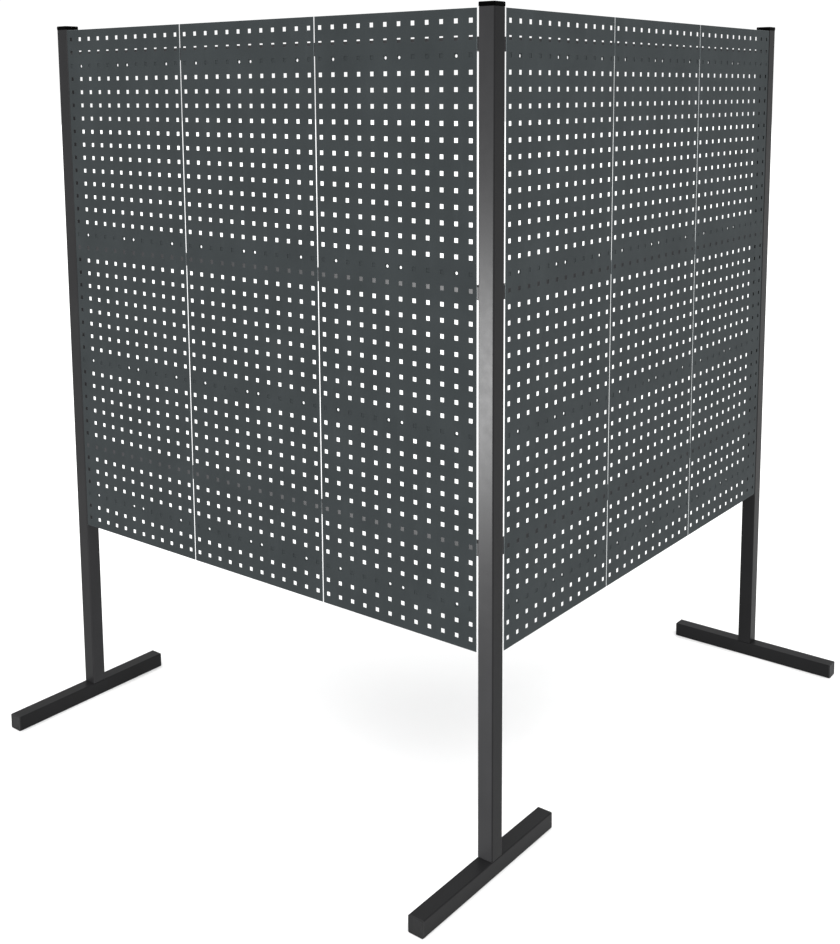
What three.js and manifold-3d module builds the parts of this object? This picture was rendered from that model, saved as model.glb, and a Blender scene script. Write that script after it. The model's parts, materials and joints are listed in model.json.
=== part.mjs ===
// Free-standing corner partition with perforated display panels.
//
// Two wings stand at a right angle and share one corner post. Each wing is an end post, three
// horizontal rails and three perforated panels, which close the outer side of the wing. Every
// post stands on a straight tube foot, plugged over a spigot and locked with one screw.
//
// Millimetres, +Z up. The origin is on the floor, under the middle of the corner post.
// The right wing runs along +X and the left wing along +Y.

import * as THREE from 'three';
import { mergeVertices } from 'three/addons/utils/BufferGeometryUtils.js';
import Module from 'manifold-3d';

const wasm = await Module();
wasm.setup();

// ---------------------------------------------------------------- driving dimensions

const FIT = 0.3; // clearance between two pieces that touch
const CURVE_STEPS = 2; // segments in a rounded tube corner
const ROUND_STEPS = 8; // segments around holes, screws and weld nuts
const HEX_SIDES = 6;
const OVERSHOOT = 1; // how far a cut reaches past the surface it opens
const WELD_DISTANCE = 1e-4; // corners closer than this become one

// Square tube of the posts and feet
const TUBE = 40;
const TUBE_WALL = 2;
const TUBE_RADIUS = 3;

const POST_LENGTH = 1866;
const FOOT_LENGTH = 500;
const FOOT_REACH_OUT = 270; // from the post's middle to the foot's outer end

// Perforated panel, standing on its short side
const PANEL_WIDTH = 449;
const PANEL_COUNT = 3;
const SHEET = 1.25;
const HOLE = 10;
const COLUMN_PITCH = 38;
const COLUMNS = 12;
const ROW_PITCH = 35.1;
const ROWS = 39;
const END_MARGIN = 25; // from a panel's top or bottom edge to the nearest row's middle
const PANEL_HEIGHT = (ROWS - 1) * ROW_PITCH + 2 * END_MARGIN;
const PANEL_GAP = 3; // between two panels
const POST_GAP = 3.5; // between a panel and a post
const PANEL_DROP = 2; // from the post's top down to the panel's top

// Strips welded to the panel's back over four of its rows, with round fixing holes
const STRIP_ROWS = [3, 16, 26, 37];
const STRIP_COLUMNS = [2, 6, 7, 11];
const STRIP_HOLE_LIFT = [-1.2, 0, 1.2, 1.4]; // round hole's middle above its row's middle
const STRIP_HEIGHT = 18;
const STRIP_THICKNESS = 2;
const STRIP_INSET = 6; // from the panel's side edge to the strip's end
const STRIP_LENGTH = PANEL_WIDTH - 2 * STRIP_INSET;
const FIXING_HOLE = 7;

// Rails, rectangular tube lying behind the panels
const RAIL_HEIGHT = 30;
const RAIL_DEPTH = 20;
const RAIL_WALL = 1.5;
const RAIL_RADIUS = 2;
const RAIL_SETBACK = 5; // from the panels' outer face to the rail
const RAILS = [
  { level: 'top', below: 73 },
  { level: 'middle', below: 590 },
  { level: 'lower', below: 1152 },
]; // below: from the panel's top down to the rail's middle

// Threads and screws
const SCREW = 6;
const SCREW_CLEARANCE = 7;
const THREAD_HOLE = SCREW + 2 * FIT;
const HEAD_DIAMETER = 12;
const HEAD_HEIGHT = 3.6;
const HEAD_RIM = 1.4; // height of the head's straight rim
const HEAD_TOP_DIAMETER = 7.8;
const SOCKET_WIDTH = 4;
const SOCKET_DEPTH = 2;
const BOSS_DIAMETER = 14; // weld nut on the panel's back

const SPIGOT_HEIGHT = 80; // stub tube on the foot, inside the post
const LOCK_HEIGHT = 80; // lock screw's middle above the floor
const LOCK_SHANK = 12;

// Corner brackets behind the rails' ends
const BRACKET_HEIGHT = 22;
const BRACKET_THICKNESS = 2.5;
const BRACKET_RAIL_LEG = 34;
const BRACKET_POST_MARGIN = 1; // from the bracket's edge to the edge of the post's side
const BRACKET_HOLE = 5;
const BRACKET_RAIL_HOLE = 22.4; // from the post to the hole in the rail leg
const BRACKET_POST_HOLE = 8.2; // from the rail's rear to the hole in the post leg

// Plastic caps on the posts and plugs in the feet
const CAP_HEAD = 10;
const CAP_OVERHANG = 0.8;
const CAP_BEVEL = 1.5;
const PLUG_HEAD = 3;
const INSERT_DEPTH = 14;
const INSERT_WALL = 2;
const INSERT_ROOT = 1; // length of the insert inside its head

// Worked out from the above
const TUBE_INSIDE = TUBE - 2 * TUBE_WALL;
const INSERT_WIDTH = TUBE_INSIDE - 2 * FIT;
const POST_TOP = TUBE + FIT + POST_LENGTH;
const PANEL_TOP = POST_TOP - PANEL_DROP;
const OUTER_FACE = -TUBE / 2; // the outer face of the posts and of the panels
const CLEAR_SPAN = PANEL_COUNT * PANEL_WIDTH + (PANEL_COUNT - 1) * PANEL_GAP + 2 * POST_GAP;
const POST_SPACING = CLEAR_SPAN + TUBE;
const COLUMN_START = -((COLUMNS - 1) * COLUMN_PITCH) / 2;
const FRAME_MIDDLE = POST_SPACING / 2;
const BEHIND_RAIL = RAIL_SETBACK + RAIL_DEPTH + FIT; // from the panels' outer face
const BRACKET_POST_LEG = TUBE - BEHIND_RAIL - BRACKET_POST_MARGIN;
const PANEL_SCREW_SHANK = RAIL_SETBACK + RAIL_DEPTH - SHEET - FIT;

// ---------------------------------------------------------------- materials

const finishes = {
  frame: { color: 0x3b3b3c, roughness: 0.45, metalness: 0.0 },
  panel: { color: 0x44494b, roughness: 0.6, metalness: 0.0 },
  plastic: { color: 0x0c0c0c, roughness: 0.5, metalness: 0.0 },
  plug: { color: 0x2b2b2b, roughness: 0.55, metalness: 0.0 },
  fastener: { color: 0x9a9c9e, roughness: 0.35, metalness: 1.0 },
};

// ---------------------------------------------------------------- geometry helpers

function roundedRectangle(width, height, radius, Kind = THREE.Shape) {
  const x = width / 2;
  const y = height / 2;
  const outline = new Kind();
  outline.moveTo(x, -y + radius);
  outline.lineTo(x, y - radius);
  outline.absarc(x - radius, y - radius, radius, 0, Math.PI / 2);
  outline.lineTo(-x + radius, y);
  outline.absarc(-x + radius, y - radius, radius, Math.PI / 2, Math.PI);
  outline.lineTo(-x, -y + radius);
  outline.absarc(-x + radius, -y + radius, radius, Math.PI, 1.5 * Math.PI);
  outline.lineTo(x - radius, -y);
  outline.absarc(x - radius, -y + radius, radius, 1.5 * Math.PI, 2 * Math.PI);
  return outline;
}

function extrude(shape, depth, curveSegments = CURVE_STEPS) {
  return new THREE.ExtrudeGeometry(shape, { depth, bevelEnabled: false, curveSegments });
}

// Open-ended tube along +Z, starting at z = 0
function tube(width, height, wall, radius, length) {
  const section = roundedRectangle(width, height, radius);
  const inside = roundedRectangle(width - 2 * wall, height - 2 * wall, radius - wall / 2, THREE.Path);
  section.holes.push(inside);
  return extrude(section, length);
}

function box(width, depth, height, x, y, z) {
  return new THREE.BoxGeometry(width, depth, height).translate(x, y, z);
}

// Cylinder along Y, from y0 to y1
function rod(diameter, y0, y1, x, z, sides = ROUND_STEPS) {
  const cylinder = new THREE.CylinderGeometry(diameter / 2, diameter / 2, y1 - y0, sides);
  return cylinder.translate(x, (y0 + y1) / 2, z);
}

function toSolid(geometry) {
  const bare = geometry.index ? geometry.toNonIndexed() : geometry.clone();
  bare.deleteAttribute('normal');
  bare.deleteAttribute('uv');
  const merged = mergeVertices(bare, WELD_DISTANCE);
  const mesh = new wasm.Mesh({
    numProp: 3,
    vertProperties: merged.attributes.position.array,
    triVerts: merged.index.array,
  });
  return new wasm.Manifold(mesh);
}

function toGeometry(solid) {
  const mesh = solid.getMesh();
  const geometry = new THREE.BufferGeometry();
  geometry.setAttribute('position', new THREE.BufferAttribute(mesh.vertProperties, 3));
  geometry.setIndex(new THREE.BufferAttribute(mesh.triVerts, 1));
  geometry.computeVertexNormals();
  return geometry;
}

// Joins the geometries in `pieces` and takes those in `cuts` away
function build(pieces, cuts = []) {
  let solid = toSolid(pieces[0]);
  for (const piece of pieces.slice(1)) {
    solid = solid.add(toSolid(piece));
  }
  for (const cut of cuts) {
    solid = solid.subtract(toSolid(cut));
  }
  return toGeometry(solid);
}

// ---------------------------------------------------------------- placing

const unit = new THREE.Group();

const places = {
  corner: new THREE.Group(),
  left: new THREE.Group(),
  right: new THREE.Group(),
  leftWing: new THREE.Group(),
  rightWing: new THREE.Group(),
};

// A post's group has its origin on the floor under the post, and its foot along its own X axis
places.left.position.set(0, POST_SPACING, 0);
places.right.position.set(POST_SPACING, 0, 0);
places.right.rotation.z = Math.PI / 2;

// A wing's group has X along the wing from its middle, and Y from the outer face inwards
places.rightWing.position.set(FRAME_MIDDLE, OUTER_FACE, 0);
places.leftWing.position.set(OUTER_FACE, FRAME_MIDDLE, 0);
places.leftWing.rotation.z = -Math.PI / 2;

for (const place of Object.values(places)) {
  unit.add(place);
}

function put(place, name, finish, geometry) {
  const mesh = new THREE.Mesh(geometry, new THREE.MeshStandardMaterial(finishes[finish]));
  mesh.name = name;
  place.add(mesh);
  return mesh;
}

// ---------------------------------------------------------------- posts and feet

// The lock screw enters from the +X side of its post's group
function lockHole(diameter) {
  const hole = rod(diameter, 0, TUBE / 2 + OVERSHOOT, 0, 0);
  return hole.rotateZ(-Math.PI / 2).translate(0, 0, LOCK_HEIGHT);
}

function postGeometry() {
  const body = tube(TUBE, TUBE, TUBE_WALL, TUBE_RADIUS, POST_LENGTH).translate(0, 0, TUBE + FIT);
  return build([body], [lockHole(SCREW_CLEARANCE)]);
}

// Straight foot tube with the spigot welded on top, standing up into the post
function footGeometry() {
  const start = -FOOT_REACH_OUT + PLUG_HEAD + FIT;
  const length = FOOT_LENGTH - 2 * (PLUG_HEAD + FIT);
  const bar = tube(TUBE, TUBE, TUBE_WALL, TUBE_RADIUS, length);
  bar.rotateY(Math.PI / 2).translate(start, 0, TUBE / 2);
  const spigotStart = TUBE - TUBE_WALL / 2;
  const spigot = tube(INSERT_WIDTH, INSERT_WIDTH, TUBE_WALL, TUBE_RADIUS, SPIGOT_HEIGHT);
  spigot.translate(0, 0, spigotStart);
  return build([bar, spigot], [lockHole(THREAD_HOLE)]);
}

// Socket button-head screw: shank towards -Y, head on +Y, its seat at y = 0
function screwGeometry(shank) {
  const r = HEAD_DIAMETER / 2;
  const profile = [
    new THREE.Vector2(0, -shank),
    new THREE.Vector2(SCREW / 2, -shank),
    new THREE.Vector2(SCREW / 2, 0),
    new THREE.Vector2(r, 0),
    new THREE.Vector2(r, HEAD_RIM),
    new THREE.Vector2(HEAD_TOP_DIAMETER / 2, HEAD_HEIGHT),
    new THREE.Vector2(0, HEAD_HEIGHT),
  ];
  const blank = new THREE.LatheGeometry(profile, ROUND_STEPS);
  const bottom = HEAD_HEIGHT - SOCKET_DEPTH;
  const socket = rod(SOCKET_WIDTH, bottom, HEAD_HEIGHT + OVERSHOOT, 0, 0, HEX_SIDES);
  return build([blank], [socket]);
}

// Square insert with a hollow end, along +Z from z = 0
function insertGeometry() {
  return tube(INSERT_WIDTH, INSERT_WIDTH, INSERT_WALL, TUBE_RADIUS, INSERT_DEPTH);
}

function capGeometry() {
  const width = TUBE + 2 * CAP_OVERHANG;
  const outline = roundedRectangle(width - 2 * CAP_BEVEL, width - 2 * CAP_BEVEL, TUBE_RADIUS);
  const head = new THREE.ExtrudeGeometry(outline, {
    depth: CAP_HEAD - 2 * CAP_BEVEL,
    bevelThickness: CAP_BEVEL,
    bevelSize: CAP_BEVEL,
    bevelSegments: 1,
    curveSegments: CURVE_STEPS,
  });
  head.translate(0, 0, CAP_BEVEL);
  const insert = insertGeometry().translate(0, 0, INSERT_ROOT - INSERT_DEPTH);
  return build([head, insert]);
}

// Foot plug: flat head at x = 0 to -PLUG_HEAD, insert towards +X
function plugGeometry() {
  const head = extrude(roundedRectangle(TUBE, TUBE, TUBE_RADIUS), PLUG_HEAD);
  const insert = insertGeometry().translate(0, 0, PLUG_HEAD - INSERT_ROOT);
  return build([head, insert]).rotateY(Math.PI / 2).translate(0, 0, TUBE / 2);
}

for (const end of ['corner', 'left', 'right']) {
  const place = places[end];
  put(place, `${end}_post`, 'frame', postGeometry());
  put(place, `${end}_foot`, 'frame', footGeometry());

  const cap = put(place, `${end}_post_cap`, 'plastic', capGeometry());
  cap.position.z = POST_TOP + FIT;

  const screw = put(place, `${end}_foot_lock_screw`, 'fastener', screwGeometry(LOCK_SHANK));
  screw.position.set(TUBE / 2 + FIT, 0, LOCK_HEIGHT);
  screw.rotation.z = -Math.PI / 2;

  const outerPlug = put(place, `${end}_foot_outer_plug`, 'plug', plugGeometry());
  outerPlug.position.x = -FOOT_REACH_OUT;

  const innerPlug = put(place, `${end}_foot_inner_plug`, 'plug', plugGeometry());
  innerPlug.position.x = FOOT_LENGTH - FOOT_REACH_OUT;
  innerPlug.rotation.z = Math.PI;
}

// ---------------------------------------------------------------- rails and brackets

function panelMiddle(index) {
  return (index - (PANEL_COUNT - 1) / 2) * (PANEL_WIDTH + PANEL_GAP);
}

function railGeometry() {
  const length = CLEAR_SPAN - 2 * FIT;
  const body = tube(RAIL_HEIGHT, RAIL_DEPTH, RAIL_WALL, RAIL_RADIUS, length);
  body.rotateY(Math.PI / 2).translate(-length / 2, RAIL_SETBACK + RAIL_DEPTH / 2, 0);
  const holes = [];
  for (let index = 0; index < PANEL_COUNT; index += 1) {
    holes.push(rod(SCREW_CLEARANCE, 0, TUBE, panelMiddle(index), 0));
  }
  return build([body], holes);
}

// Angle bracket in the corner between a rail's rear face and a post's side, side = -1 or 1
function bracketGeometry(side) {
  const postFace = side * (CLEAR_SPAN / 2 - FIT);
  const railLeg = box(
    BRACKET_RAIL_LEG, BRACKET_THICKNESS, BRACKET_HEIGHT,
    postFace - (side * BRACKET_RAIL_LEG) / 2, BEHIND_RAIL + BRACKET_THICKNESS / 2, 0,
  );
  const postLeg = box(
    BRACKET_THICKNESS, BRACKET_POST_LEG, BRACKET_HEIGHT,
    postFace - (side * BRACKET_THICKNESS) / 2, BEHIND_RAIL + BRACKET_POST_LEG / 2, 0,
  );
  const railHole = rod(BRACKET_HOLE, 0, TUBE, postFace - side * BRACKET_RAIL_HOLE, 0);
  const postHole = rod(BRACKET_HOLE, -TUBE, TUBE, 0, 0).rotateZ(Math.PI / 2);
  postHole.translate(postFace, BEHIND_RAIL + BRACKET_POST_HOLE, 0);
  return build([railLeg, postLeg], [railHole, postHole]);
}

// ---------------------------------------------------------------- panels

function columnAt(column) {
  return COLUMN_START + (column - 1) * COLUMN_PITCH;
}

function rowBelowTop(row) {
  return END_MARGIN + (row - 1) * ROW_PITCH;
}

// Plate across the panel, from `top` to `bottom` below the panel's top edge, with y from y0 to y1
function plate(width, top, bottom, y0, y1) {
  return box(width, y1 - y0, bottom - top, 0, (y0 + y1) / 2, -(top + bottom) / 2);
}

// The sheet keeps the square holes that have a fixing hole behind them; the other square holes
// are left out of the solid
function sheetGeometry() {
  const holes = [];
  for (const row of STRIP_ROWS) {
    for (const column of STRIP_COLUMNS) {
      const depth = 2 * (SHEET + OVERSHOOT);
      holes.push(box(HOLE, depth, HOLE, columnAt(column), 0, -rowBelowTop(row)));
    }
  }
  return build([plate(PANEL_WIDTH, 0, PANEL_HEIGHT, 0, SHEET)], holes);
}

function stripGeometry(row, lift) {
  const middle = rowBelowTop(row);
  const halfHeight = STRIP_HEIGHT / 2;
  const back = SHEET + STRIP_THICKNESS;
  const strip = plate(STRIP_LENGTH, middle - halfHeight, middle + halfHeight, SHEET, back);
  const holes = STRIP_COLUMNS.map(
    (column) => rod(FIXING_HOLE, 0, 2 * back, columnAt(column), lift - middle),
  );
  return build([strip], holes);
}

// Sheet with its strips and the three weld nuts that its screws turn into
function panelGeometry() {
  const pieces = [sheetGeometry()];
  STRIP_ROWS.forEach((row, index) => pieces.push(stripGeometry(row, STRIP_HOLE_LIFT[index])));
  const threads = [];
  for (const rail of RAILS) {
    pieces.push(rod(BOSS_DIAMETER, SHEET, RAIL_SETBACK - FIT, 0, -rail.below));
    threads.push(rod(THREAD_HOLE, SHEET + FIT, RAIL_SETBACK, 0, -rail.below));
  }
  return build(pieces, threads);
}

for (const wing of ['left', 'right']) {
  const place = places[`${wing}Wing`];

  for (const rail of RAILS) {
    const height = PANEL_TOP - rail.below;
    const name = `${wing}_${rail.level}_rail`;
    put(place, name, 'frame', railGeometry()).position.z = height;
    const cornerSide = wing === 'left' ? 1 : -1;
    put(place, `${name}_corner_bracket`, 'frame', bracketGeometry(cornerSide)).position.z = height;
    put(place, `${name}_end_bracket`, 'frame', bracketGeometry(-cornerSide)).position.z = height;
  }

  for (let index = 0; index < PANEL_COUNT; index += 1) {
    const fromCorner = wing === 'left' ? PANEL_COUNT - index : index + 1;
    const name = `${wing}_panel_${fromCorner}`;
    put(place, name, 'panel', panelGeometry()).position.set(panelMiddle(index), 0, PANEL_TOP);
    for (const rail of RAILS) {
      const blank = screwGeometry(PANEL_SCREW_SHANK);
      const screw = put(place, `${name}_${rail.level}_screw`, 'fastener', blank);
      screw.position.set(panelMiddle(index), BEHIND_RAIL, PANEL_TOP - rail.below);
    }
  }
}

export default unit;
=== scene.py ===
"""Looks of the perforated panel corner partition, in metres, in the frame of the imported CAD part.

Z is up and the origin is on the floor under the corner post. The right wing runs along +X and the
left wing along +Y. Each wing's own axes are u along the wing, v from its outer face inwards, and
w up.
"""

import json
import math

import bmesh
import bpy
from mathutils import Matrix, Vector
from mathutils.geometry import tessellate_polygon


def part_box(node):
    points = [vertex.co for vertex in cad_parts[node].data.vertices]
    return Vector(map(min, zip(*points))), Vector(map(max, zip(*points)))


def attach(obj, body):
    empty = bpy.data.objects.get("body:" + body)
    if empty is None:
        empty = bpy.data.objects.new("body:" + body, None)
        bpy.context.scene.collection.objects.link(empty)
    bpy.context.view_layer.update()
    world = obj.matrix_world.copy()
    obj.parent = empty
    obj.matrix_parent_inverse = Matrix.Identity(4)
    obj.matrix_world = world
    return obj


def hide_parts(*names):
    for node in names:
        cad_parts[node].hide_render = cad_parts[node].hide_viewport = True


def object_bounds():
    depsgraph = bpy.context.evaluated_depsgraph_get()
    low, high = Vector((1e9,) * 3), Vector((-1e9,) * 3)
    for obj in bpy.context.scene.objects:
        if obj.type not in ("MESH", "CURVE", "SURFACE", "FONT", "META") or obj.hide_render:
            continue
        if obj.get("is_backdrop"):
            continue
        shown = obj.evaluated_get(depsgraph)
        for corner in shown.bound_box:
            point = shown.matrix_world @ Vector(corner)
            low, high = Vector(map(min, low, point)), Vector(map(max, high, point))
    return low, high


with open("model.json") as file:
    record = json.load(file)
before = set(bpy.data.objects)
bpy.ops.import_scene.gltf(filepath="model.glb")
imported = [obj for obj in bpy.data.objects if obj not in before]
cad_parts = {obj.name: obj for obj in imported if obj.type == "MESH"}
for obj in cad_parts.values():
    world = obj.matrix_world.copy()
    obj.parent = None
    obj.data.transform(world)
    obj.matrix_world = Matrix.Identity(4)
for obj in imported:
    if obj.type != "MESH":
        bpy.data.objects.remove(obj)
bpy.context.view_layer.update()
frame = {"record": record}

MM = 0.001
BODY = "root"

# ---------------------------------------------------------------- dimensions, in metres

FIT = 0.3 * MM  # clearance between two pieces that touch, as in the CAD
CORNER_STEPS = 6  # segments in a rounded tube corner
ROUND_STEPS = 36  # segments around a screw, nut or hole, a multiple of 12
TUBE_WALL = 2 * MM
TUBE_RADIUS = 3 * MM
TUBE_EDGE = 0.35 * MM  # chamfer on a sawn tube end
SPIGOT_TOP = 119 * MM
SPIGOT_WIDTH = 35.4 * MM

PANELS = (1, 2, 3)  # in a wing, the first next to the corner
SHEET = 1.25 * MM
HOLE = 10 * MM
HOLE_EDGE = 0.25 * MM
COLUMNS = 12
COLUMN_PITCH = 38 * MM
ROWS = 39
ROW_PITCH = 35.1 * MM
END_MARGIN = 25 * MM

STRIP_ROWS = (3, 16, 26, 37)
STRIP_LIFTS = (-1.2 * MM, 0.0, 1.2 * MM, 1.4 * MM)  # of its round holes over the row's middle
STRIP_COLUMNS = (2, 6, 7, 11)
STRIP_HEIGHT = 18 * MM
STRIP_LENGTH = 437 * MM
STRIP_BACK = 3.25 * MM
STRIP_EDGE = 0.3 * MM
STRIP_CORNER = 2 * MM
STRIP_CORNER_STEPS = 4
FIXING_HOLE = 7 * MM
WELD_SPOTS = (1, 3.5, 5, 8, 9.5, 12)  # columns that the spot welds stand at
WELD_SPOT = 4.2 * MM
WELD_SPOT_FLOOR = 0.7  # share of the spot's diameter
WELD_SPOT_DEPTH = 0.18 * MM
WELD_SPOT_RISE = 0.5 * MM  # above the middle of the row
WELD_SPOT_STEPS = 16

NUT_DIAMETER = 14 * MM
NUT_BACK = 4.7 * MM
NUT_EDGE = 0.5 * MM
NUT_BORE = 6.6 * MM
NUT_FLOOR = 1.55 * MM

RAIL_WALL = 1.5 * MM
RAIL_RADIUS = 2 * MM
RAIL_LEVELS = ("top", "middle", "lower")

BRACKET_THICKNESS = 2.5 * MM
BRACKET_BEND = 1.5 * MM  # inside radius
BRACKET_CORNER = 3 * MM
BRACKET_EDGE = 0.3 * MM
BRACKET_HOLE = 5 * MM
BRACKET_RAIL_HOLE = 22.4 * MM
BRACKET_POST_HOLE = 8.2 * MM
BRACKET_CORNER_STEPS = 5
BRACKET_HOLE_STEPS = 24
BEND_STEPS = 8

CAP_EDGE = 2 * MM
CAP_EDGE_STEPS = 6
CAP_CROWN = 0.5 * MM
CAP_CROWN_RINGS = (0.75, 0.5, 0.25)  # shares of the flat top's width
CAP_FOOT = 0.6 * MM  # chamfer round the underside, and what the corner radius gains over the tube
PLUG_EDGE = 0.9 * MM
PLUG_EDGE_STEPS = 5
PLUG_HEAD = 3 * MM
PLUG_BORDER = 6 * MM  # both sides together
PLUG_DISH = 0.3 * MM
INSERT_WALL = 2 * MM
INSERT_OVERLAP = 0.01 * MM
FIN_DEPTH = 0.25 * MM
FINS = 4
FIN_SLOPE = 0.75  # share of a fin's length

# Button-head screws: diameters of shank and head, height of head, width across flats and depth of
# the socket, and thread pitch, where 0 leaves the shank plain
M6 = {
    "shank": 6 * MM, "head": 12 * MM, "height": 3.6 * MM,
    "socket": 4 * MM, "deep": 2 * MM, "pitch": 1 * MM,
}
M5 = {
    "shank": 4.8 * MM, "head": 8 * MM, "height": 2.6 * MM,
    "socket": 2.5 * MM, "deep": 1.3 * MM, "pitch": 0,
}
BRACKET_SHANK = 7 * MM
PANEL_SHANK = 23.45 * MM
LOCK_SHANK = 12 * MM
RIM_SHARE = 0.36  # upright part of a screw head, as a share of its height
FLAT_SHARE = 1.62  # flat top, as a share of the socket
MOUTH_SHARE = 1.28  # countersunk mouth, as a share of the socket
MOUTH_DEPTH = 0.25 * MM
DRILL_SHARE = 0.15  # depth of the drilled point under the socket, as a share of the socket
DOME_STEPS = 6
TIP_SHARE = 0.75  # diameter of the chamfered tip, as a share of the shank's
THREAD_START = 0.5 * MM  # above the tip
THREAD_PLAIN = 3 * MM  # least length without thread, both ends of the shank together
THREAD_DEPTH = 0.6  # share of the pitch, on the diameter
THREAD_TURNS = 16  # at most
RINGS_PER_TURN = 4
NECK = 0.4 * MM
HEAD_CHAMFER = 0.2 * MM


# ---------------------------------------------------------------- mesh building


class Shape:
    """Points, faces and a finish number for each face, in a piece's own axes."""

    def __init__(self):
        self.points = []
        self.faces = []
        self.finishes = []

    def add(self, points, faces):
        """Adds faces with the first finish. Their numbers count from the first of the points."""
        start = len(self.points)
        self.points.extend(Vector(p) for p in points)
        self.faces.extend([start + i for i in face] for face in faces)
        self.finishes.extend([0] * len(faces))

    def loft(self, loops, finishes=None, wrap=False):
        """Skins loops of equal length in order. A loop of one point closes an end."""
        starts = []
        for loop in loops:
            starts.append(len(self.points))
            self.points.extend(Vector(p) for p in loop)
        pairs = len(loops) if wrap else len(loops) - 1
        for k in range(pairs):
            a, b = k, (k + 1) % len(loops)
            count = max(len(loops[a]), len(loops[b]))
            finish = finishes[k] if finishes else 0
            for i in range(count):
                j = (i + 1) % count
                low = [starts[a]] if len(loops[a]) == 1 else [starts[a] + i, starts[a] + j]
                high = [starts[b]] if len(loops[b]) == 1 else [starts[b] + j, starts[b] + i]
                self.faces.append(low + high)
                self.finishes.append(finish)


def rounded_loop(width, height, radius, steps=CORNER_STEPS):
    """Rectangle with rounded corners round the origin, as (a, b) points."""
    points = []
    corners = ((1, 1, 0), (-1, 1, 90), (-1, -1, 180), (1, -1, 270))
    for side_a, side_b, start in corners:
        centre_a = side_a * (width / 2 - radius)
        centre_b = side_b * (height / 2 - radius)
        for step in range(steps + 1):
            angle = math.radians(start + 90 * step / steps)
            a = centre_a + radius * math.cos(angle)
            b = centre_b + radius * math.sin(angle)
            points.append((a, b))
    return points


def circle_loop(diameter, centre=(0, 0), steps=ROUND_STEPS):
    turn = 2 * math.pi / steps
    radius = diameter / 2
    return [
        (centre[0] + radius * math.cos(turn * i), centre[1] + radius * math.sin(turn * i))
        for i in range(steps)
    ]


def hexagon_loop(across, steps=ROUND_STEPS):
    """Hexagon with as many points as a circle, so that the two can be skinned together."""
    points = []
    for i in range(steps):
        angle = 2 * math.pi * i / steps
        from_flat = (angle % (math.pi / 3)) - math.pi / 6
        radius = across / 2 / math.cos(from_flat)
        points.append((radius * math.cos(angle), radius * math.sin(angle)))
    return points


def lift(loop, height):
    return [(a, b, height) for a, b in loop]


def square_tube(shape, width, height, wall, radius, start, end, axis="z", middle=(0, 0, 0)):
    """Hollow rounded tube with chamfered ends. Its section lies across the axis."""
    inner_radius = max(radius - wall / 2, MM)
    outer = rounded_loop(width, height, radius)
    chamfered = rounded_loop(width - 2 * TUBE_EDGE, height - 2 * TUBE_EDGE, radius - TUBE_EDGE)
    inner = rounded_loop(width - 2 * wall, height - 2 * wall, inner_radius)
    loops = [
        lift(chamfered, start),
        lift(outer, start + TUBE_EDGE),
        lift(outer, end - TUBE_EDGE),
        lift(chamfered, end),
        lift(inner, end),
        lift(inner, start),
    ]
    if axis == "x":
        loops = [[(h, a, b) for a, b, h in loop] for loop in loops]
    loops = [[Vector(p) + Vector(middle) for p in loop] for loop in loops]
    shape.loft(loops, finishes=(1, 0, 1, 1, 0, 1), wrap=True)


def flat_plate(shape, outline, holes, near, far, edge, spots=()):
    """Plate in u and w between depths near and far, with dished weld spots on its far side.

    outline and each of holes is a function that gives a loop for an offset outwards.
    """
    offsets = [(outline, -edge)] + [(hole, edge) for hole in holes]
    levels = []
    for depth, chamfered in ((near, True), (near + edge, False), (far - edge, False), (far, True)):
        row = []
        for make, offset in offsets:
            loop = make(offset if chamfered else 0)
            row.append(range(len(shape.points), len(shape.points) + len(loop)))
            shape.points.extend(Vector((u, depth, w)) for u, w in loop)
        levels.append(row)
    for level in range(3):
        for low, high in zip(levels[level], levels[level + 1]):
            for i in range(len(low)):
                j = (i + 1) % len(low)
                shape.faces.append([low[i], low[j], high[j], high[i]])
                shape.finishes.append(0 if level == 1 else 1)
    spot_rings = []
    for centre in spots:
        ring = circle_loop(WELD_SPOT, centre, WELD_SPOT_STEPS)
        spot_rings.append(range(len(shape.points), len(shape.points) + len(ring)))
        shape.points.extend(Vector((u, far, w)) for u, w in ring)
    for level, extra in ((0, []), (3, spot_rings)):
        indices = [list(ring) for ring in levels[level] + extra]
        flat = [i for ring in indices for i in ring]
        outlines = [
            [Vector((shape.points[i].x, shape.points[i].z, 0)) for i in ring] for ring in indices
        ]
        for triangle in tessellate_polygon(outlines):
            shape.faces.append([flat[i] for i in triangle])
            shape.finishes.append(0)
    for centre, ring in zip(spots, spot_rings):
        dish = circle_loop(WELD_SPOT_FLOOR * WELD_SPOT, centre, WELD_SPOT_STEPS)
        start = len(shape.points)
        shape.points.extend(Vector((u, far - WELD_SPOT_DEPTH, w)) for u, w in dish)
        for i in range(WELD_SPOT_STEPS):
            j = (i + 1) % WELD_SPOT_STEPS
            shape.faces.append([ring[i], ring[j], start + j, start + i])
            shape.finishes.append(0)
        shape.faces.append([start + i for i in range(WELD_SPOT_STEPS)])
        shape.finishes.append(0)


made_pieces = {}  # slot name to the pieces made for it

SHARP = 32  # degrees between faces from which an edge is drawn sharp
SHARP_PLASTIC = 40
CUT_REACH = 1e-7  # metres within which a point counts as lying on a cut
FLAT_WEIGHT = 90  # how much larger faces decide the shading at their edges


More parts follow.
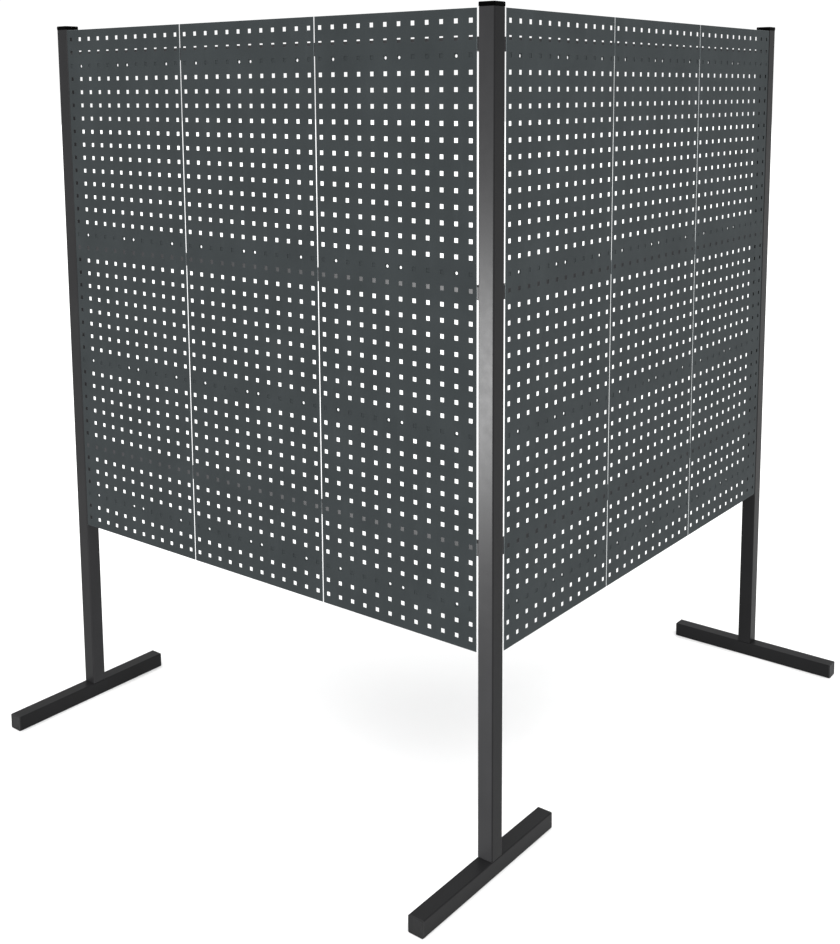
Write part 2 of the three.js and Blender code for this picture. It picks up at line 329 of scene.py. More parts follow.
def piece(name, shape, place, finishes, slot, replaced=(), cuts=(), bend=None, sharp=SHARP):
    """Turns a shape into an object at its place, riding on the frame.

    replaced names the CAD nodes that it stands for. A bent piece is first cut across at the
    places in cuts.
    """
    mesh = bpy.data.meshes.new(name)
    work = bmesh.new()
    vertices = [work.verts.new(p) for p in shape.points]
    work.verts.ensure_lookup_table()
    for indices, finish in zip(shape.faces, shape.finishes):
        face = work.faces.new([vertices[i] for i in indices])
        face.material_index = min(finish, len(finishes) - 1)
    for cut in cuts:
        parts = work.verts[:] + work.edges[:] + work.faces[:]
        bmesh.ops.bisect_plane(
            work, geom=parts, plane_co=(cut, 0, 0), plane_no=(1, 0, 0), dist=CUT_REACH
        )
    if bend:
        for vertex in work.verts:
            vertex.co = bend(vertex.co)
    work.transform(place)
    bmesh.ops.recalc_face_normals(work, faces=work.faces[:])
    work.to_mesh(mesh)
    work.free()
    for face in mesh.polygons:
        face.use_smooth = True
    mesh.set_sharp_from_angle(angle=math.radians(sharp))
    for material in finishes:
        mesh.materials.append(material)
    made = bpy.data.objects.new(name, mesh)
    bpy.context.scene.collection.objects.link(made)
    weighted = made.modifiers.new("flat faces", "WEIGHTED_NORMAL")
    weighted.keep_sharp = True
    weighted.weight = FLAT_WEIGHT
    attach(made, BODY)
    if replaced:
        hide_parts(*replaced)
    made_pieces.setdefault(slot, []).append(made)


# ---------------------------------------------------------------- finishes


class Finish:
    """A procedural material, with short calls for the nodes used here."""

    def __init__(self, name, roughness, metallic=0.0, specular=0.5):
        self.material = bpy.data.materials.new(name)
        self.material.use_nodes = True
        self.tree = self.material.node_tree
        self.shader = self.tree.nodes["Principled BSDF"]
        self.shader.inputs["Roughness"].default_value = roughness
        self.shader.inputs["Metallic"].default_value = metallic
        self.shader.inputs["Specular IOR Level"].default_value = specular
        self.place = self.tree.nodes.new("ShaderNodeTexCoord").outputs["Object"]

    def link(self, output, node, name):
        self.tree.links.new(output, node.inputs[name])

    def stretched(self, scale):
        node = self.tree.nodes.new("ShaderNodeMapping")
        self.link(self.place, node, "Vector")
        node.inputs["Scale"].default_value = scale
        return node.outputs["Vector"]

    def noise(self, size, detail=2.0, roughness=0.5, place=None):
        """Noise whose blotches are about `size` metres across."""
        node = self.tree.nodes.new("ShaderNodeTexNoise")
        self.link(place or self.place, node, "Vector")
        node.inputs["Scale"].default_value = 1 / size
        node.inputs["Detail"].default_value = detail
        node.inputs["Roughness"].default_value = roughness
        return node.outputs["Fac"]

    def cells(self, size):
        node = self.tree.nodes.new("ShaderNodeTexVoronoi")
        self.link(self.place, node, "Vector")
        node.inputs["Scale"].default_value = 1 / size
        return node.outputs["Distance"]

    def spread(self, value, start, end, low, high):
        """Maps start..end of a value to low..high, and clamps it."""
        node = self.tree.nodes.new("ShaderNodeMapRange")
        self.link(value, node, "Value")
        limits = {"From Min": start, "From Max": end, "To Min": low, "To Max": high}
        for name, number in limits.items():
            node.inputs[name].default_value = number
        return node.outputs["Result"]

    def blend(self, factor, first, second):
        """Mix of two colours, each a colour or another node's output."""
        node = self.tree.nodes.new("ShaderNodeMix")
        node.data_type = "RGBA"
        self.tree.links.new(factor, node.inputs[0])
        for socket, colour in ((node.inputs[6], first), (node.inputs[7], second)):
            if isinstance(colour, bpy.types.NodeSocket):
                self.tree.links.new(colour, socket)
            else:
                socket.default_value = (*colour, 1)
        return node.outputs[2]

    def add(self, first, second):
        node = self.tree.nodes.new("ShaderNodeMath")
        node.operation = "ADD"
        self.tree.links.new(first, node.inputs[0])
        self.tree.links.new(second, node.inputs[1])
        return node.outputs[0]

    def relief(self, height, depth, below=None):
        """Bump of a depth in metres, over another bump if given."""
        node = self.tree.nodes.new("ShaderNodeBump")
        self.link(height, node, "Height")
        node.inputs["Distance"].default_value = depth
        if below:
            self.link(below, node, "Normal")
        return node.outputs["Normal"]

    def colour(self, output):
        self.link(output, self.shader, "Base Color")

    def roughness(self, output):
        self.link(output, self.shader, "Roughness")

    def normal(self, output):
        self.link(output, self.shader, "Normal")


def tint(colour, factor):
    return tuple(factor * c for c in colour)


def powder_coat(name, colour, roughness, grain, peel, specular, wear, uneven=0.05):
    """Baked powder paint: fine grain, orange peel, slight mottling and rub marks.

    grain and peel are depths in metres. wear is the strength of the rub marks, and uneven is how
    far the roughness strays.
    """
    made = Finish(name, roughness, specular=specular)
    mottle = made.spread(made.noise(110 * MM, detail=4), 0.3, 0.7, 0, 1)
    base = made.blend(mottle, tint(colour, 0.92), tint(colour, 1.08))
    speck = made.spread(made.noise(0.8 * MM, detail=1), 0.5, 0.75, 0, 0.35)
    base = made.blend(speck, base, tint(colour, 1.7))
    upright = made.stretched((1, 1, 0.22))
    rubbed = made.noise(30 * MM, detail=5, roughness=0.65, place=upright)
    rub = made.spread(rubbed, 0.56, 0.74, 0, wear)
    made.colour(made.blend(rub, base, tint(colour, 1.9)))
    cloud = made.noise(22 * MM, detail=3)
    soft = made.spread(cloud, 0.3, 0.7, roughness - uneven, roughness + uneven)
    made.roughness(made.add(soft, made.spread(rubbed, 0.56, 0.74, 0, -0.12 * wear)))
    coarse = made.relief(made.noise(5 * MM, detail=1), peel)
    made.normal(made.relief(made.noise(0.55 * MM, detail=2), grain, coarse))
    return made.material


def moulded_plastic(name, colour, roughness, specular):
    """Moulded plastic with a fine etched skin and faint flow shading."""
    made = Finish(name, roughness, specular=specular)
    flow = made.noise(20 * MM, detail=3, place=made.stretched((1, 1, 0.5)))
    base = made.blend(made.spread(flow, 0.3, 0.7, 0, 1), tint(colour, 0.85), tint(colour, 1.2))
    scuff = made.spread(made.noise(4 * MM, detail=6, roughness=0.7), 0.6, 0.75, 0, 0.3)
    made.colour(made.blend(scuff, base, tint(colour, 2.2)))
    gloss = made.noise(6 * MM, detail=3)
    made.roughness(made.spread(gloss, 0.3, 0.7, roughness - 0.06, roughness + 0.08))
    etched = made.relief(made.cells(0.5 * MM), 0.03 * MM)
    made.normal(made.relief(made.noise(3 * MM), 0.02 * MM, etched))
    return made.material


def zinc_plate(name, colour):
    """Bright zinc on turned steel, with cloudy passivation."""
    made = Finish(name, 0.32, metallic=1.0)
    cloud = made.spread(made.noise(3 * MM, detail=4), 0.35, 0.65, 0, 1)
    warm = (colour[0] * 1.1, colour[1] * 1.09, colour[2] * 1.02)
    base = made.blend(cloud, tint(colour, 0.85), warm)
    stain = made.spread(made.noise(1.2 * MM, detail=5, roughness=0.7), 0.58, 0.72, 0, 0.5)
    made.colour(made.blend(stain, base, tint(colour, 0.5)))
    made.roughness(made.spread(made.noise(1.5 * MM, detail=3), 0.3, 0.7, 0.24, 0.44))
    made.normal(made.relief(made.noise(0.25 * MM, detail=2), 0.012 * MM))
    return made.material


def slot_colour(slot):
    for entry in frame["record"]["materials"]:
        if entry["slot"] == slot:
            return tuple(entry["base_color"][:3])
    raise ValueError(f"no material slot {slot}")


PANEL_PAINT = tint(slot_colour("panel"), 0.66)
FRAME_PAINT = tint(slot_colour("frame"), 0.28)

panel_coat = powder_coat(
    "panel_coat", PANEL_PAINT, roughness=0.62, grain=0.05 * MM, peel=0.03 * MM,
    specular=0.03, wear=0.10,
)
# Painted highlight: the hole walls and chamfers, and the chamfers of the back strips, are painted
# 1.2 times lighter than the sheet's faces. Their rub marks are wear.
panel_edge = powder_coat(
    "panel_edge", tint(PANEL_PAINT, 1.2), roughness=0.5, grain=0.02 * MM, peel=0.02 * MM,
    specular=0.2, wear=0.3,
)
# Painted highlight: the outer edge faces of each panel are painted four times lighter than the
# sheet, standing in for lit edges that show in the gaps between panels. Their gloss and rub marks
# are real.
panel_rim = powder_coat(
    "panel_rim", tint(PANEL_PAINT, 4.0), roughness=0.4, grain=0.02 * MM, peel=0.02 * MM,
    specular=0.5, wear=0.4,
)
frame_coat = powder_coat(
    "frame_coat", FRAME_PAINT, roughness=0.33, grain=0.008 * MM, peel=0.008 * MM,
    specular=0.06, wear=0.08, uneven=0.02,
)
# Painted highlight: the frame's chamfers and tube ends are painted 1.4 times lighter than its
# faces. Their rub marks are wear.
frame_edge = powder_coat(
    "frame_edge", tint(FRAME_PAINT, 1.4), roughness=0.32, grain=0.008 * MM, peel=0.008 * MM,
    specular=0.25, wear=0.3,
)
cap_plastic = moulded_plastic(
    "cap_plastic", tint(slot_colour("post_cap"), 0.06), roughness=0.6, specular=0.02
)
plug_plastic = moulded_plastic(
    "plug_plastic", tint(slot_colour("foot_plug"), 0.7), roughness=0.55, specular=0.14
)
zinc = zinc_plate("zinc", slot_colour("fastener"))

PANEL_FINISHES = (panel_coat, panel_edge, panel_rim)  # faces; hole edges, painted 1.2 times lighter as a highlight; outer edge, painted four times lighter as a highlight
FRAME_FINISHES = (frame_coat, frame_edge)  # faces; edges, painted 1.4 times lighter as a highlight


# ---------------------------------------------------------------- posts, feet, caps and plugs


def quarter_turn(steps, first=0):
    """Angles from 0 to a right angle."""
    return [0.5 * math.pi * step / steps for step in range(first, steps + 1)]


def thread_ring(kind, shank, height):
    """Loop round a screw's shank at a height, with the thread's depth at each angle."""
    loop = []
    for i in range(ROUND_STEPS):
        phase = ((height + shank) / kind["pitch"] - i / ROUND_STEPS) % 1
        depth = THREAD_DEPTH * kind["pitch"] * abs(2 * phase - 1) / 2
        angle = 2 * math.pi * i / ROUND_STEPS
        reach = kind["shank"] / 2 - depth
        loop.append((reach * math.cos(angle), reach * math.sin(angle), height))
    return loop


def screw_shape(kind, shank):
    """Button-head screw with a hexagon socket, along +Z, its seat at z = 0."""
    pitch, head, top = kind["pitch"], kind["head"], kind["height"]
    socket, floor_level = kind["socket"], kind["height"] - kind["deep"]
    rim = RIM_SHARE * top
    loops = [[(0, 0, -shank)], lift(circle_loop(TIP_SHARE * kind["shank"]), -shank)]
    if pitch:
        turns = min(int((shank - THREAD_PLAIN) / pitch), THREAD_TURNS)
        for ring in range(turns * RINGS_PER_TURN + 1):
            height = -shank + THREAD_START + ring * pitch / RINGS_PER_TURN
            loops.append(thread_ring(kind, shank, height))
    loops.append(lift(circle_loop(kind["shank"]), -NECK))
    loops.append(lift(circle_loop(kind["shank"]), 0))
    loops.append(lift(circle_loop(head - 2 * HEAD_CHAMFER), 0))
    loops.append(lift(circle_loop(head), HEAD_CHAMFER))
    loops.append(lift(circle_loop(head), rim))
    flat = FLAT_SHARE * socket
    for angle in quarter_turn(DOME_STEPS, first=1):
        diameter = flat + (head - flat) * math.cos(angle)
        loops.append(lift(circle_loop(diameter), rim + (top - rim) * math.sin(angle)))
    loops.append(lift(circle_loop(MOUTH_SHARE * socket), top))
    loops.append(lift(hexagon_loop(socket), top - MOUTH_DEPTH))
    loops.append(lift(hexagon_loop(socket), floor_level))
    loops.append([(0, 0, floor_level - DRILL_SHARE * socket)])
    shape = Shape()
    shape.loft(loops)
    return shape


def square_loop(side, radius, height):
    return lift(rounded_loop(side, side, radius), height)


def insert_shape(shape, top, depth):
    """Hollow push-in insert from z = top downwards, with shallow retaining fins."""
    loops = []
    length = depth / FINS
    for fin in range(FINS):
        level = top - fin * length
        loops.append(square_loop(SPIGOT_WIDTH, TUBE_RADIUS, level))
        narrow = SPIGOT_WIDTH - 2 * FIN_DEPTH
        loops.append(square_loop(narrow, TUBE_RADIUS, level - FIN_SLOPE * length))
    loops.append(square_loop(SPIGOT_WIDTH - 2 * MM, TUBE_RADIUS - 0.5 * MM, top - depth))
    inside = SPIGOT_WIDTH - 2 * INSERT_WALL - 2 * FIN_DEPTH
    loops.append(square_loop(inside, TUBE_RADIUS - MM, top - depth))
    loops.append(square_loop(inside, TUBE_RADIUS - MM, top))
    loops.append([(0, 0, top)])
    shape.loft(loops)


def cap_shape(width, height, depth):
    """Square cap with a rounded top edge and a slight crown, standing on z = 0."""
    radius = TUBE_RADIUS + CAP_FOOT
    loops = [
        [(0, 0, 0)],
        square_loop(SPIGOT_WIDTH, TUBE_RADIUS, 0),
        square_loop(width - 2 * CAP_FOOT, TUBE_RADIUS, 0),
        square_loop(width, radius, CAP_FOOT),
    ]
    shoulder = height - CAP_EDGE - CAP_CROWN
    for angle in quarter_turn(CAP_EDGE_STEPS):
        inset = CAP_EDGE * (1 - math.cos(angle))
        level = shoulder + CAP_EDGE * math.sin(angle)
        loops.append(square_loop(width - 2 * inset, radius - 0.5 * inset, level))
    for share in CAP_CROWN_RINGS:
        side = share * (width - 2 * CAP_EDGE)
        rise = CAP_CROWN * (1 - share * share)
        loops.append(square_loop(side, share * TUBE_RADIUS, height - CAP_CROWN + rise))
    loops.append([(0, 0, height)])
    shape = Shape()
    shape.loft(loops)
    insert_shape(shape, INSERT_OVERLAP, depth)
    return shape


def plug_shape(width, depth):
    """Flush foot plug: rounded flat head from z = 0 to its thickness, insert below."""
    loops = [[(0, 0, 0)], square_loop(width, TUBE_RADIUS, 0)]
    for angle in quarter_turn(PLUG_EDGE_STEPS):
        inset = PLUG_EDGE * (1 - math.cos(angle))
        level = PLUG_HEAD - PLUG_EDGE + PLUG_EDGE * math.sin(angle)
        loops.append(square_loop(width - 2 * inset, TUBE_RADIUS - 0.5 * inset, level))
    dish = width - PLUG_BORDER
    loops.append(square_loop(dish, TUBE_RADIUS - MM, PLUG_HEAD))
    loops.append(square_loop(dish - MM, TUBE_RADIUS - 1.2 * MM, PLUG_HEAD - PLUG_DISH))
    loops.append([(0, 0, PLUG_HEAD - PLUG_DISH)])
    shape = Shape()
    shape.loft(loops)
    insert_shape(shape, INSERT_OVERLAP, depth)
    return shape


def facing(direction, at):
    """Matrix that turns +Z to a direction and moves the origin to a point."""
    turn = Vector(direction).to_track_quat("Z", "Y").to_matrix().to_4x4()
    return Matrix.Translation(at) @ turn


def middle_of(node):
    low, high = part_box(node)
    return (low + high) / 2


def foot_axes(end):
    """Direction of a foot's inner end, which is also the way that its lock screw faces."""
    low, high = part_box(f"{end}_foot")
    return Vector((1, 0, 0)) if high.x - low.x > high.y - low.y else Vector((0, 1, 0))


for end in ("corner", "left", "right"):
    low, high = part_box(f"{end}_post")
    centre = (low + high) / 2
    width = high.x - low.x
    along = foot_axes(end)
    turn = Matrix.Identity(4) if along.x else Matrix.Rotation(math.pi / 2, 4, "Z")
    stand = Matrix.Translation((centre.x, centre.y, 0)) @ turn

    post = Shape()
    square_tube(post, width, width, TUBE_WALL, TUBE_RADIUS, low.z, high.z)
    piece(f"{end}_post_tube", post, stand, FRAME_FINISHES, "frame", [f"{end}_post"])

    foot_low, foot_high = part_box(f"{end}_foot")
    start = (foot_low - centre).dot(along)
    stop = (foot_high - centre).dot(along)
    foot = Shape()
    square_tube(foot, width, width, TUBE_WALL, TUBE_RADIUS, start, stop, "x", (0, 0, width / 2))
    square_tube(foot, SPIGOT_WIDTH, SPIGOT_WIDTH, TUBE_WALL, TUBE_RADIUS, width - MM, SPIGOT_TOP)
    piece(f"{end}_foot_tube", foot, stand, FRAME_FINISHES, "frame", [f"{end}_foot"])

    cap_low, cap_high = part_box(f"{end}_post_cap")
    head = cap_high.z - high.z - FIT
    cap = cap_shape(cap_high.x - cap_low.x, head, cap_high.z - head - cap_low.z)
    at = Matrix.Translation((centre.x, centre.y, cap_high.z - head))
    piece(
        f"{end}_cap_moulding", cap, at, (cap_plastic,), "post_cap", [f"{end}_post_cap"],
        sharp=SHARP_PLASTIC,
    )

    for name, way in (("outer", -1), ("inner", 1)):
        plug_low, plug_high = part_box(f"{end}_foot_{name}_plug")
        face = max(way * (plug_low - centre).dot(along), way * (plug_high - centre).dot(along))
        length = (plug_high - plug_low).dot(along)
        at = Vector((centre.x, centre.y, width / 2)) + way * (face - PLUG_HEAD) * along
        moulding = plug_shape(width, length - PLUG_HEAD)
        piece(
            f"{end}_{name}_plug_moulding", moulding, facing(way * along, at), (plug_plastic,),
            "foot_plug", [f"{end}_foot_{name}_plug"], sharp=SHARP_PLASTIC,
        )

    screw_low, screw_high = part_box(f"{end}_foot_lock_screw")
    seat = (screw_high - centre).dot(along) - M6["height"]
    at = Vector((centre.x, centre.y, (screw_low.z + screw_high.z) / 2)) + seat * along
    piece(
        f"{end}_lock_screw_zinc", screw_shape(M6, LOCK_SHANK), facing(along, at), (zinc,),
        "fastener", [f"{end}_foot_lock_screw"],
    )


# ---------------------------------------------------------------- panels


def column_at(column):
    """Distance of a column's middle from the panel's. The number may lie between two columns."""
    return (column - (COLUMNS + 1) / 2) * COLUMN_PITCH


def panel_shape(width, height, nuts):
    """Perforated sheet, hanging from w = 0, with back strips and weld nuts."""
    shape = Shape()
    columns = [column_at(c) for c in range(1, COLUMNS + 1)]
    rows = [-END_MARGIN - r * ROW_PITCH for r in range(ROWS)]
    wide = HOLE / 2 + HOLE_EDGE
    lines_u = [-width / 2 + HOLE_EDGE]
    for middle in columns:
        lines_u += [middle - wide, middle + wide]
    lines_u.append(width / 2 - HOLE_EDGE)
    lines_w = [-HOLE_EDGE]
    for middle in rows:
        lines_w += [middle + wide, middle - wide]
    lines_w.append(-height + HOLE_EDGE)
    count_u, count_w = len(lines_u), len(lines_w)
    for depth in (0, SHEET):
        faces = []
        for j in range(count_w - 1):
            for i in range(count_u - 1):
                if i % 2 and j % 2:
                    continue
                corner = j * count_u + i
                faces.append([corner, corner + 1, corner + count_u + 1, corner + count_u])
        shape.add([(u, depth, w) for w in lines_w for u in lines_u], faces)
    back = count_u * count_w

    def ring(indices, points, finish):
        """Chamfers and wall between the front loop, the back loop and the loops between them."""
        start = len(shape.points)
        count = len(indices)
        shape.points.extend(Vector((u, HOLE_EDGE, w)) for u, w in points)
        shape.points.extend(Vector((u, SHEET - HOLE_EDGE, w)) for u, w in points)
        for i in range(count):
            j = (i + 1) % count
            quads = (
                [indices[i], indices[j], start + j, start + i],
                [start + i, start + j, start + count + j, start + count + i],
                [start + count + i, start + count + j, back + indices[j], back + indices[i]],
            )
            shape.faces.extend(quads)
            shape.finishes.extend([finish] * 3)

    for r, middle_w in enumerate(rows):
        for c, middle_u in enumerate(columns):
            corner = (2 * r + 1) * count_u + 2 * c + 1
            indices = [corner, corner + 1, corner + count_u + 1, corner + count_u]
            half = HOLE / 2
            points = [
                (middle_u - half, middle_w + half),
                (middle_u + half, middle_w + half),
                (middle_u + half, middle_w - half),
                (middle_u - half, middle_w - half),
            ]
            ring(indices, points, 1)
    border = list(range(count_u))
    border += [j * count_u + count_u - 1 for j in range(1, count_w)]
    border += [(count_w - 1) * count_u + i for i in range(count_u - 2, -1, -1)]
    border += [j * count_u for j in range(count_w - 2, 0, -1)]
    outside = []
    reach = 1.5 * HOLE_EDGE
    for i in border:
        u, w = shape.points[i].x, shape.points[i].z
        u = math.copysign(width / 2, u) if abs(u) > width / 2 - reach else u
        w = 0 if w > -reach else w
        w = -height if w < -height + reach else w
        outside.append((u, w))
    ring(border, outside, 2)

    for row, raised in zip(STRIP_ROWS, STRIP_LIFTS):
        level = rows[row - 1]

        def outline(grow, level=level):
            length, tall = STRIP_LENGTH + 2 * grow, STRIP_HEIGHT + 2 * grow
            loop = rounded_loop(length, tall, STRIP_CORNER + grow, STRIP_CORNER_STEPS)
            return [(u, w + level) for u, w in loop]

        holes = []
        for column in STRIP_COLUMNS:
            centre = (column_at(column), level + raised)
            holes.append(lambda grow, centre=centre: circle_loop(FIXING_HOLE + 2 * grow, centre))
        spots = [(column_at(column), level + WELD_SPOT_RISE) for column in WELD_SPOTS]
        flat_plate(shape, outline, holes, SHEET, STRIP_BACK, STRIP_EDGE, spots)

    for level in nuts:
        stack = [
            (0, SHEET), (NUT_DIAMETER, SHEET), (NUT_DIAMETER, NUT_BACK - NUT_EDGE),
            (NUT_DIAMETER - 2 * NUT_EDGE, NUT_BACK), (NUT_BORE + NUT_EDGE, NUT_BACK),
            (NUT_BORE, NUT_BACK - NUT_EDGE), (NUT_BORE, NUT_FLOOR), (0, NUT_FLOOR),
        ]
        loops = []
        for diameter, depth in stack:
            if diameter:
                loops.append([(u, depth, w + level) for u, w in circle_loop(diameter)])
            else:
                loops.append([(0, depth, level)])
        shape.loft(loops)
    return shape


def wing_axes(wing, node):
    """Matrix from a wing's u, v, w to the frame.

    u = 0 is in the middle of a node, and v = 0 at the panels' outer face.
    """
    low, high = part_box(f"{wing}_panel_2")
    at = middle_of(node)
    if wing == "right":
        return Matrix.Translation((at.x, low.y, 0))
    turn = Matrix(((0, 1, 0, 0), (-1, 0, 0, 0), (0, 0, 1, 0), (0, 0, 0, 1)))
    return Matrix.Translation((low.x, at.y, 0)) @ turn


def bracket_shape(rail_leg, post_leg, height):
    """Flat blank of a corner bracket with its two holes, the cuts across it and how it bends."""
    outer = BRACKET_BEND + BRACKET_THICKNESS
    arc = math.pi / 2 * (BRACKET_BEND + BRACKET_THICKNESS / 2)
    straight = rail_leg - outer
    length = straight + arc + post_leg - outer

    def outline(grow):
        wide, tall = length + 2 * grow, height + 2 * grow
        loop = rounded_loop(wide, tall, BRACKET_CORNER + grow, BRACKET_CORNER_STEPS)
        return [(u + length / 2, w) for u, w in loop]

    centres = [
        (rail_leg - BRACKET_RAIL_HOLE, 0),
        (straight + arc + BRACKET_POST_HOLE - outer, 0),
    ]
    holes = [
        lambda grow, centre=centre: circle_loop(BRACKET_HOLE + 2 * grow, centre, BRACKET_HOLE_STEPS)
        for centre in centres
    ]
    shape = Shape()
    flat_plate(shape, outline, holes, 0, BRACKET_THICKNESS, BRACKET_EDGE)
    cuts = [straight + arc * step / BEND_STEPS for step in range(BEND_STEPS + 1)]

    def bend(point):
        """Leaves the rail leg where it is, and turns the rest to run along v at u = rail_leg."""
        reach = outer - point.y
        past = point.x - straight
        if past <= 0:
            return point.copy()
        if past < arc:
            angle = 0.5 * math.pi * past / arc
            u = straight + reach * math.sin(angle)
            return Vector((u, outer - reach * math.cos(angle), point.z))
        return Vector((straight + reach, outer + past - arc, point.z))

    return shape, cuts, bend


def span_in(axes, node):
    """Lowest and highest corner of a node's box in a wing's own axes."""
    ends = [axes.inverted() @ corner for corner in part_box(node)]
    return Vector([min(pair) for pair in zip(*ends)]), Vector([max(pair) for pair in zip(*ends)])


for wing in ("left", "right"):
    for index in PANELS:
        node = f"{wing}_panel_{index}"
        axes = wing_axes(wing, node)
        low, high = span_in(axes, node)
        screws = [f"{node}_{level}_screw" for level in RAIL_LEVELS]
        nuts = [middle_of(screw).z - high.z for screw in screws]
        panel = panel_shape(high.x - low.x, high.z - low.z, nuts)
        hung = axes @ Matrix.Translation((0, 0, high.z))
        piece(f"{wing}_perforated_panel_{index}", panel, hung, PANEL_FINISHES, "panel", [node])

    for level in RAIL_LEVELS:
        node = f"{wing}_{level}_rail"
        axes = wing_axes(wing, node)
        low, high = span_in(axes, node)
        middle = (low + high) / 2
        rail = Shape()
        square_tube(
            rail, high.y - low.y, high.z - low.z, RAIL_WALL, RAIL_RADIUS, low.x, high.x, "x",
            (0, middle.y, middle.z),
        )
        piece(f"{node}_tube", rail, axes, FRAME_FINISHES, "frame", [node])

        rear = high.y + FIT
        for side_name in ("corner", "end"):
            bracket = f"{node}_{side_name}_bracket"
            low, high = span_in(axes, bracket)
            side = 1 if low.x + high.x > 0 else -1
            post_face = high.x if side > 0 else low.x
            size = high - low
            shape, cuts, bend = bracket_shape(*size)
            mirror = Matrix.Diagonal((side, 1, 1, 1))
            start = Matrix.Translation((post_face - side * size.x, rear, middle.z))
            piece(
                f"{bracket}_angle", shape, axes @ start @ mirror, FRAME_FINISHES, "frame",
                [bracket], cuts, bend,
            )
            rail_spot = (post_face - side * BRACKET_RAIL_HOLE, rear + BRACKET_THICKNESS, middle.z)
            post_spot = (post_face - side * BRACKET_THICKNESS, rear + BRACKET_POST_HOLE, middle.z)
            screws = (("rail", (0, 1, 0), rail_spot), ("post", (-side, 0, 0), post_spot))
            for name, way, at in screws:
                screw = screw_shape(M5, BRACKET_SHANK)
                place = axes @ facing(way, at)
                piece(f"{bracket}_{name}_screw", screw, place, (zinc,), "fastener")

    for index in PANELS:
        for level in RAIL_LEVELS:
            node = f"{wing}_panel_{index}_{level}_screw"
            axes = wing_axes(wing, node)
            rear = span_in(axes, f"{wing}_{level}_rail")[1].y + FIT
            place = axes @ facing((0, 1, 0), (0, rear, middle_of(node).z))
            piece(f"{node}_zinc", screw_shape(M6, PANEL_SHANK), place, (zinc,), "fastener", [node])


# ---------------------------------------------------------------- camera

CAMERA_AT = Vector((-2.1359, -1.4767, 1.7329))
CAMERA_YAW = math.radians(52.045)  # from +Y towards +X
CAMERA_PITCH = math.radians(-7.818)
CAMERA_ROLL = math.radians(-0.303)
SENSOR = 36.0  # mm, the picture's height
LENS = 47.6695  # mm
SHIFT_Y = -0.22
CLIP = (0.05, 200.0)

camera_data = bpy.data.cameras.new("camera")
camera = bpy.data.objects.new("camera", camera_data)
bpy.context.scene.collection.objects.link(camera)
forward = Vector((
    math.sin(CAMERA_YAW) * math.cos(CAMERA_PITCH),
    math.cos(CAMERA_YAW) * math.cos(CAMERA_PITCH),
    math.sin(CAMERA_PITCH),
))
level_right = forward.cross(Vector((0, 0, 1))).normalized()
level_up = level_right.cross(forward)
right = math.cos(CAMERA_ROLL) * level_right + math.sin(CAMERA_ROLL) * level_up
up = right.cross(forward)
turn = Matrix((right, up, -forward)).transposed().to_4x4()
camera.matrix_world = Matrix.Translation(CAMERA_AT) @ turn
camera_data.sensor_width = SENSOR
camera_data.lens = LENS
camera_data.shift_y = SHIFT_Y
camera_data.clip_start, camera_data.clip_end = CLIP
bpy.context.scene.camera = camera

# ---------------------------------------------------------------- floor and light

FLOOR_REACH = 60.0
FLOOR_DROP = 0.3 * MM

floor_mesh = bpy.data.meshes.new("floor")
corners = ((-1, -1), (1, -1), (1, 1), (-1, 1))
floor_mesh.from_pydata(
    [(FLOOR_REACH * x, FLOOR_REACH * y, -FLOOR_DROP) for x, y in corners], [], [(0, 1, 2, 3)]
)
floor = bpy.data.objects.new("floor", floor_mesh)
bpy.context.scene.collection.objects.link(floor)
floor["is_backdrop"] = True
matt = Finish("floor_paint", 0.9, specular=0.1)
patches = matt.spread(matt.noise(400 * MM, detail=3), 0.3, 0.7, 0, 1)
matt.colour(matt.blend(patches, (0.89, 0.89, 0.89), (0.91, 0.91, 0.91)))
floor_mesh.materials.append(matt.material)

AROUND = 0.8  # brightness of the room that lights the object
BACKDROP = 1.05  # brightness of the room as the camera sees it
world = bpy.data.worlds.new("studio")
bpy.context.scene.world = world
world.use_nodes = True
nodes = world.node_tree.nodes
links = world.node_tree.links
room = nodes["Background"]
room.inputs["Color"].default_value = (1, 1, 1, 1)
room.inputs["Strength"].default_value = AROUND
backdrop = nodes.new("ShaderNodeBackground")
backdrop.inputs["Color"].default_value = (1, 1, 1, 1)
backdrop.inputs["Strength"].default_value = BACKDROP
paths = nodes.new("ShaderNodeLightPath")
choose = nodes.new("ShaderNodeMixShader")
links.new(paths.outputs["Is Camera Ray"], choose.inputs[0])
links.new(room.outputs[0], choose.inputs[1])
links.new(backdrop.outputs[0], choose.inputs[2])
links.new(choose.outputs[0], nodes["World Output"].inputs["Surface"])


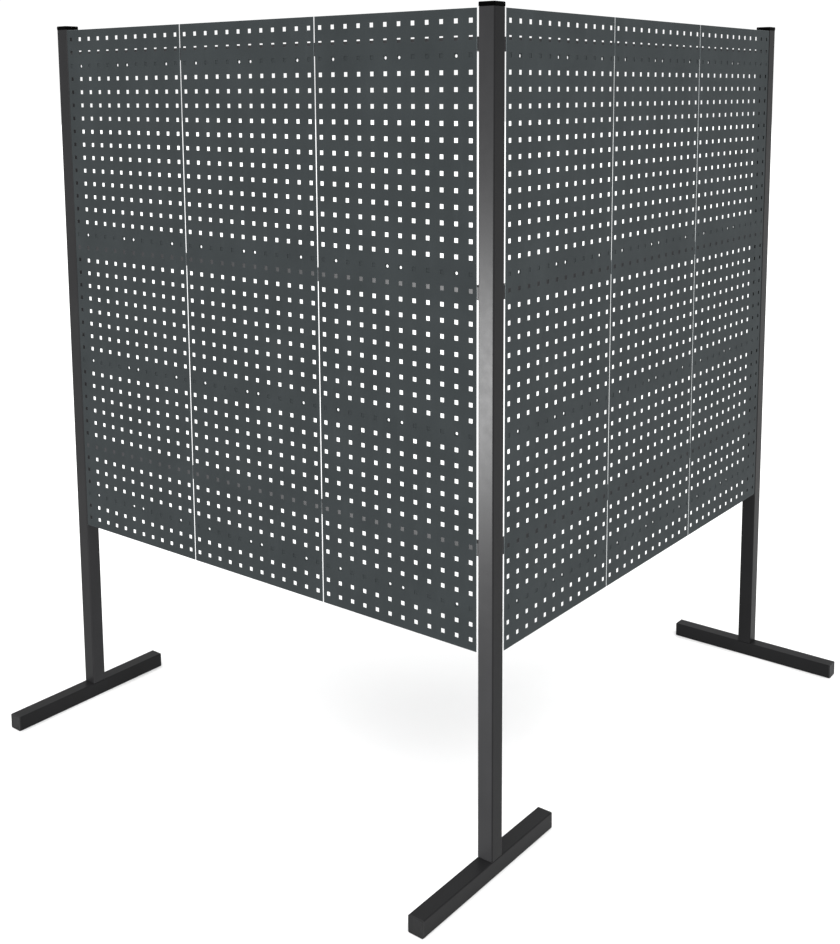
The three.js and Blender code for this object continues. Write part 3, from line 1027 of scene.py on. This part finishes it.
def lamp(name, kind, energy, at, towards=(0, 0, 0), **settings):
    """Lamp that the camera doesn't see. energy is W for an area lamp, W/m2 for a sun."""
    data = bpy.data.lights.new(name, kind)
    data.energy = energy
    for key, value in settings.items():
        setattr(data, key, value)
    made = bpy.data.objects.new(name, data)
    made.location = at
    made.rotation_mode = "QUATERNION"
    made.rotation_quaternion = (Vector(towards) - Vector(at)).to_track_quat("-Z", "Y")
    made.visible_camera = False
    bpy.context.scene.collection.objects.link(made)
    return made


def light_only(light, name, lit, past_the_rest=False):
    """Limits a lamp to some pieces, and lets its light pass the others if asked."""
    receivers = bpy.data.collections.new(name)
    for made in lit:
        receivers.objects.link(made)
    light.light_linking.receiver_collection = receivers
    if past_the_rest:
        light.light_linking.blocker_collection = receivers


LOW_LEFT_AT = (-2.15, 1.55, 0.5)
LOW_LEFT_AIM = (0, 0.05, 1.0)
LOW_LEFT_SIZE = {"shape": "RECTANGLE", "size": 1.0, "size_y": 0.8}

lamp("overhead", "SUN", energy=3.0, at=(-1, -1, 5), angle=math.radians(80))
low_left = lamp("low_left", "AREA", 270, LOW_LEFT_AT, LOW_LEFT_AIM, **LOW_LEFT_SIZE)
rails_left = lamp("rails_left", "AREA", 330, LOW_LEFT_AT, LOW_LEFT_AIM, **LOW_LEFT_SIZE)
left_post = lamp("left_post", "SUN", energy=5.0, at=(-3, -4, 1), angle=math.radians(50))
rails_right = lamp("rails_right", "SUN", energy=11.0, at=(-1, -4, 1), angle=math.radians(50))

by_name = {made.name: made for made in made_pieces["frame"]}
light_only(low_left, "corner_post_only", [by_name["corner_post_tube"]])
light_only(left_post, "left_post_only", [by_name["left_post_tube"]], past_the_rest=True)
for wing, light in (("left", rails_left), ("right", rails_right)):
    names = [name for name in by_name if name.startswith(wing) and "_rail" in name]
    light_only(light, f"{wing}_rails", [by_name[name] for name in names], past_the_rest=True)

bpy.context.scene.view_settings.view_transform = "Standard"

# ---------------------------------------------------------------- sizes

low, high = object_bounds()
